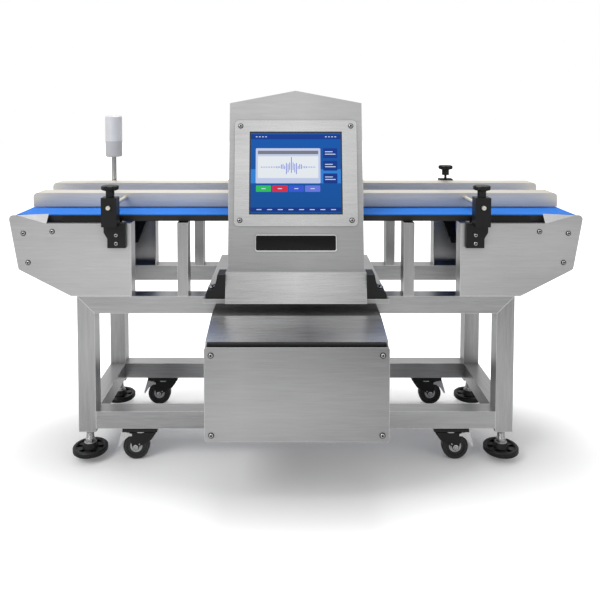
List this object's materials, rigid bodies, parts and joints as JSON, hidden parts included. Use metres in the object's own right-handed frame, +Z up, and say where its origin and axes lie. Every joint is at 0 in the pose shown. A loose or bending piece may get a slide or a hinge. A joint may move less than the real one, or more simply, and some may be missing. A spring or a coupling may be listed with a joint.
{
  "type": "conveyor metal detector",
  "caption": "Conveyor metal detector: stainless stand on casters, blue belt between adjustable guides, gabled search head with a leaning touch screen over a tunnel.",
  "frame": {"origin": "on the floor under the middle of the machine's outer box", "axes": "+Z up, +X along the belt, -Y towards the operator and the screen"},
  "size_m": [1.628, 0.707, 1.071],
  "materials": {
    "stainless": "brushed stainless sheet and tube",
    "head_steel": "vertical brushed stainless sheet",
    "cabinet_steel": "horizontal brushed stainless sheet",
    "polished_steel": "bright turned steel",
    "roller_steel": "turned steel",
    "belt_blue": "smooth blue belt",
    "bed_dark": "dark sliding plastic",
    "black_plastic": "moulded black plastic",
    "black_paint": "black painted steel pressing",
    "liner_plastic": "light plastic liner",
    "screen_glass": "touch screen",
    "wheel_tread": "black wheel with pale hub",
    "lens_white": "frosted white lens",
    "lamp_grey": "grey moulded cup",
    "pedal_zinc": "zinc plated pressing"
  },
  "bodies": {
    "machine": {"bed_posts": "stainless", "cabinet_body": "cabinet_steel", "carrier_plate": "stainless", "caster_plates": "black_paint", "conveyor_belt": "belt_blue", "door_panel": "cabinet_steel", "end_wraps": "stainless", "guide_brackets": "black_plastic", "head_base": "head_steel", "head_shell": "head_steel", "insulator_feet": "black_plastic", "lamp_base": "lamp_grey", "lamp_lens": "lens_white", "lamp_pole": "polished_steel", "legs_front": "stainless", "legs_rear": "stainless", "low_cross_rails": "stainless", "low_rail_front": "stainless", "low_rail_rear": "stainless", "roller_plates": "black_paint", "screen_bezel": "stainless", "side_cover_front_left": "stainless", "side_cover_front_right": "stainless", "side_cover_rear_left": "stainless", "side_cover_rear_right": "stainless", "slider_bed": "bed_dark", "top_cross_rails": "stainless", "top_rail_front": "stainless", "top_rail_rear": "stainless", "touch_screen": "screen_glass", "tunnel_liner": "liner_plastic"},
    "drive_drum_body": {"drive_drum": "roller_steel"},
    "takeup_drum_body": {"takeup_drum": "roller_steel"},
    "nose_roller_left_body": {"nose_roller_left": "roller_steel"},
    "snub_roller_left_inner_body": {"snub_roller_left_inner": "roller_steel"},
    "snub_roller_left_outer_body": {"snub_roller_left_outer": "roller_steel"},
    "nose_roller_right_body": {"nose_roller_right": "roller_steel"},
    "snub_roller_right_inner_body": {"snub_roller_right_inner": "roller_steel"},
    "snub_roller_right_outer_body": {"snub_roller_right_outer": "roller_steel"},
    "front_guide_body": {"front_guide": "stainless"},
    "rear_guide_body": {"rear_guide": "stainless"},
    "knob_front_left_body": {"knob_front_left": "black_plastic"},
    "knob_front_right_body": {"knob_front_right": "black_plastic"},
    "knob_rear_right_body": {"knob_rear_right": "black_plastic"},
    "fork_front_left": {"caster_fork_front_left": "black_paint"},
    "wheel_front_left": {"caster_wheel_front_left": "wheel_tread"},
    "pedal_front_left": {"caster_pedal_front_left": "pedal_zinc"},
    "foot_front_left": {"levelling_foot_front_left": "black_plastic"},
    "fork_front_right": {"caster_fork_front_right": "black_paint"},
    "wheel_front_right": {"caster_wheel_front_right": "wheel_tread"},
    "pedal_front_right": {"caster_pedal_front_right": "pedal_zinc"},
    "foot_front_right": {"levelling_foot_front_right": "black_plastic"},
    "fork_rear_left": {"caster_fork_rear_left": "black_paint"},
    "wheel_rear_left": {"caster_wheel_rear_left": "wheel_tread"},
    "pedal_rear_left": {"caster_pedal_rear_left": "pedal_zinc"},
    "foot_rear_left": {"levelling_foot_rear_left": "black_plastic"},
    "fork_rear_right": {"caster_fork_rear_right": "black_paint"},
    "wheel_rear_right": {"caster_wheel_rear_right": "wheel_tread"},
    "pedal_rear_right": {"caster_pedal_rear_right": "pedal_zinc"},
    "foot_rear_right": {"levelling_foot_rear_right": "black_plastic"}
  },
  "joints": [
    {"name": "drive_drum_spin", "type": "hinge", "parent": "machine", "child": "drive_drum_body", "pos_m": [0.585, 0.101, 0.61], "axis": [0, 1, 0], "continuous": true},
    {"name": "takeup_drum_spin", "type": "hinge", "parent": "machine", "child": "takeup_drum_body", "pos_m": [-0.585, 0.101, 0.61], "axis": [0, 1, 0], "continuous": true},
    {"name": "nose_left_spin", "type": "hinge", "parent": "machine", "child": "nose_roller_left_body", "pos_m": [-0.803, 0.101, 0.703], "axis": [0, 1, 0], "continuous": true},
    {"name": "snub_left_inner_spin", "type": "hinge", "parent": "machine", "child": "snub_roller_left_inner_body", "pos_m": [-0.528, 0.101, 0.685], "axis": [0, 1, 0], "continuous": true},
    {"name": "snub_left_outer_spin", "type": "hinge", "parent": "machine", "child": "snub_roller_left_outer_body", "pos_m": [-0.642, 0.101, 0.677], "axis": [0, 1, 0], "continuous": true},
    {"name": "nose_right_spin", "type": "hinge", "parent": "machine", "child": "nose_roller_right_body", "pos_m": [0.803, 0.101, 0.703], "axis": [0, 1, 0], "continuous": true},
    {"name": "snub_right_inner_spin", "type": "hinge", "parent": "machine", "child": "snub_roller_right_inner_body", "pos_m": [0.528, 0.101, 0.685], "axis": [0, 1, 0], "continuous": true},
    {"name": "snub_right_outer_spin", "type": "hinge", "parent": "machine", "child": "snub_roller_right_outer_body", "pos_m": [0.642, 0.101, 0.677], "axis": [0, 1, 0], "continuous": true},
    {"name": "front_guide_slide", "type": "slide", "parent": "machine", "child": "front_guide_body", "axis": [0, 1, 0], "range_m": [-0.11, 0.02]},
    {"name": "rear_guide_slide", "type": "slide", "parent": "machine", "child": "rear_guide_body", "axis": [0, 1, 0], "range_m": [-0.03, 0]},
    {"name": "knob_front_left_turn", "type": "hinge", "parent": "machine", "child": "knob_front_left_body", "pos_m": [-0.521, -0.1145, 0.79], "axis": [0, 0, 1], "range_deg": [0, 360]},
    {"name": "knob_front_right_turn", "type": "hinge", "parent": "machine", "child": "knob_front_right_body", "pos_m": [0.521, -0.1145, 0.79], "axis": [0, 0, 1], "range_deg": [0, 360]},
    {"name": "knob_rear_right_turn", "type": "hinge", "parent": "machine", "child": "knob_rear_right_body", "pos_m": [0.521, 0.3165, 0.79], "axis": [0, 0, 1], "range_deg": [0, 360]},
    {"name": "swivel_front_left", "type": "hinge", "parent": "machine", "child": "fork_front_left", "pos_m": [-0.45, -0.0715, 0.09], "axis": [0, 0, 1], "continuous": true},
    {"name": "wheel_roll_front_left", "type": "hinge", "parent": "fork_front_left", "child": "wheel_front_left", "pos_m": [-0.464, -0.0715, 0.0375], "axis": [0, 1, 0], "continuous": true},
    {"name": "pedal_press_front_left", "type": "hinge", "parent": "fork_front_left", "child": "pedal_front_left", "pos_m": [-0.48, -0.0715, 0.076], "axis": [0, -1, 0], "range_deg": [0, 10]},
    {"name": "foot_screw_front_left", "type": "slide", "parent": "machine", "child": "foot_front_left", "axis": [0, 0, 1], "range_m": [-0.035, 0.025]},
    {"name": "swivel_front_right", "type": "hinge", "parent": "machine", "child": "fork_front_right", "pos_m": [0.45, -0.0715, 0.09], "axis": [0, 0, 1], "continuous": true},
    {"name": "wheel_roll_front_right", "type": "hinge", "parent": "fork_front_right", "child": "wheel_front_right", "pos_m": [0.464, -0.0715, 0.0375], "axis": [0, 1, 0], "continuous": true},
    {"name": "pedal_press_front_right", "type": "hinge", "parent": "fork_front_right", "child": "pedal_front_right", "pos_m": [0.48, -0.0715, 0.076], "axis": [0, 1, 0], "range_deg": [0, 10]},
    {"name": "foot_screw_front_right", "type": "slide", "parent": "machine", "child": "foot_front_right", "axis": [0, 0, 1], "range_m": [-0.035, 0.025]},
    {"name": "swivel_rear_left", "type": "hinge", "parent": "machine", "child": "fork_rear_left", "pos_m": [-0.45, 0.2735, 0.09], "axis": [0, 0, 1], "continuous": true},
    {"name": "wheel_roll_rear_left", "type": "hinge", "parent": "fork_rear_left", "child": "wheel_rear_left", "pos_m": [-0.464, 0.2735, 0.0375], "axis": [0, 1, 0], "continuous": true},
    {"name": "pedal_press_rear_left", "type": "hinge", "parent": "fork_rear_left", "child": "pedal_rear_left", "pos_m": [-0.48, 0.2735, 0.076], "axis": [0, -1, 0], "range_deg": [0, 10]},
    {"name": "foot_screw_rear_left", "type": "slide", "parent": "machine", "child": "foot_rear_left", "axis": [0, 0, 1], "range_m": [-0.035, 0.025]},
    {"name": "swivel_rear_right", "type": "hinge", "parent": "machine", "child": "fork_rear_right", "pos_m": [0.45, 0.2735, 0.09], "axis": [0, 0, 1], "continuous": true},
    {"name": "wheel_roll_rear_right", "type": "hinge", "parent": "fork_rear_right", "child": "wheel_rear_right", "pos_m": [0.464, 0.2735, 0.0375], "axis": [0, 1, 0], "continuous": true},
    {"name": "pedal_press_rear_right", "type": "hinge", "parent": "fork_rear_right", "child": "pedal_rear_right", "pos_m": [0.48, 0.2735, 0.076], "axis": [0, 1, 0], "range_deg": [0, 10]},
    {"name": "foot_screw_rear_right", "type": "slide", "parent": "machine", "child": "foot_rear_right", "axis": [0, 0, 1], "range_m": [-0.035, 0.025]}
  ],
  "couplings": [
    {"joint": "takeup_drum_spin", "follows": "drive_drum_spin", "ratio": 1},
    {"joint": "nose_left_spin", "follows": "drive_drum_spin", "ratio": 4.4444},
    {"joint": "snub_left_inner_spin", "follows": "drive_drum_spin", "ratio": -2.6667},
    {"joint": "snub_left_outer_spin", "follows": "drive_drum_spin", "ratio": -2.6667},
    {"joint": "nose_right_spin", "follows": "drive_drum_spin", "ratio": 4.4444},
    {"joint": "snub_right_inner_spin", "follows": "drive_drum_spin", "ratio": -2.6667},
    {"joint": "snub_right_outer_spin", "follows": "drive_drum_spin", "ratio": -2.6667}
  ]
}
